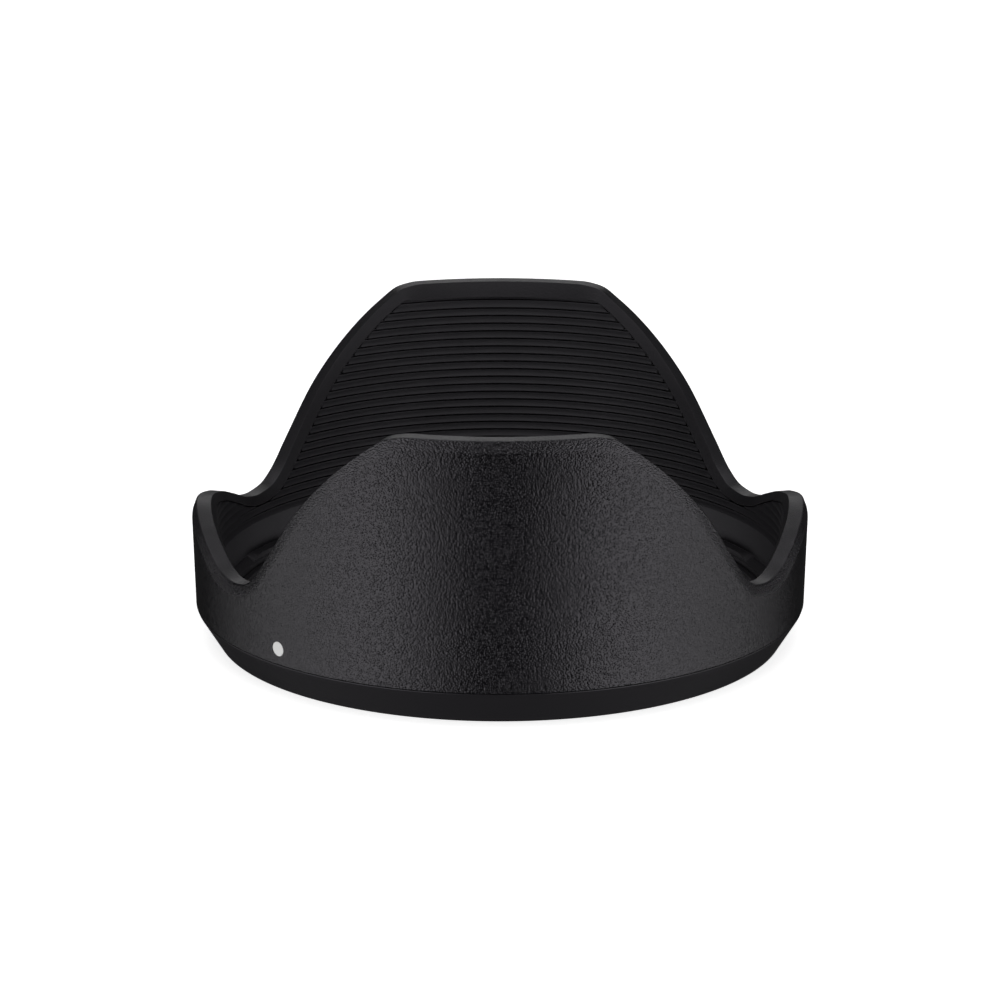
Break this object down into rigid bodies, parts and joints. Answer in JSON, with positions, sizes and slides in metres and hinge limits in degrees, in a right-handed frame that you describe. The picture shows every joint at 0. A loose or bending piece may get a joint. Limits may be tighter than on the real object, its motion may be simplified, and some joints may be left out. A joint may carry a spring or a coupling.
{
  "type": "petal lens hood",
  "caption": "Petal-shaped bayonet lens hood with a grained outer shell, a ribbed inner liner, a smooth rear mount ring with click springs and a white index dot.",
  "frame": {"origin": "centre of the rear face's plane, on the optical axis", "axes": "+Z along the optical axis towards the scene, +Y through the middle of the back long petal, -Y through the front long petal, +X through a short petal"},
  "size_m": [0.0954, 0.0968, 0.0443],
  "materials": {
    "grained_plastic": "fine spark-eroded grain, satin",
    "matte_liner": "matt, ribbed against reflections",
    "smooth_plastic": "smooth satin",
    "spring_steel": "bright rolled strip",
    "black_screw": "black oxide",
    "white_mark": "matt white"
  },
  "bodies": {
    "hood": {"petal_shell": "grained_plastic", "ribbed_liner": "matte_liner", "mount_ring": "smooth_plastic", "spring_screw_1": "black_screw", "spring_screw_2": "black_screw", "spring_screw_3": "black_screw", "spring_screw_4": "black_screw", "spring_screw_5": "black_screw", "spring_screw_6": "black_screw", "ring_screw_1": "black_screw", "ring_screw_2": "black_screw", "ring_screw_3": "black_screw", "ring_screw_4": "black_screw", "ring_screw_5": "black_screw", "ring_screw_6": "black_screw", "stop_pin": "spring_steel", "index_dot": "white_mark"},
    "click_spring_1": {"click_spring_1": "spring_steel"},
    "click_spring_2": {"click_spring_2": "spring_steel"},
    "click_spring_3": {"click_spring_3": "spring_steel"}
  },
  "joints": [
    {"name": "click_spring_1_bend", "type": "hinge", "parent": "hood", "child": "click_spring_1", "pos_m": [0.007, -0.04182, 0.00275], "axis": [0, 0, 1], "range_deg": [0, 2.6], "stiffness_Nm_per_rad": 0.5},
    {"name": "click_spring_2_bend", "type": "hinge", "parent": "hood", "child": "click_spring_2", "pos_m": [0.03272, 0.02697, 0.00275], "axis": [0, 0, 1], "range_deg": [0, 2.6], "stiffness_Nm_per_rad": 0.5},
    {"name": "click_spring_3_bend", "type": "hinge", "parent": "hood", "child": "click_spring_3", "pos_m": [-0.03972, 0.01485, 0.00275], "axis": [0, 0, 1], "range_deg": [0, 2.6], "stiffness_Nm_per_rad": 0.5}
  ]
}
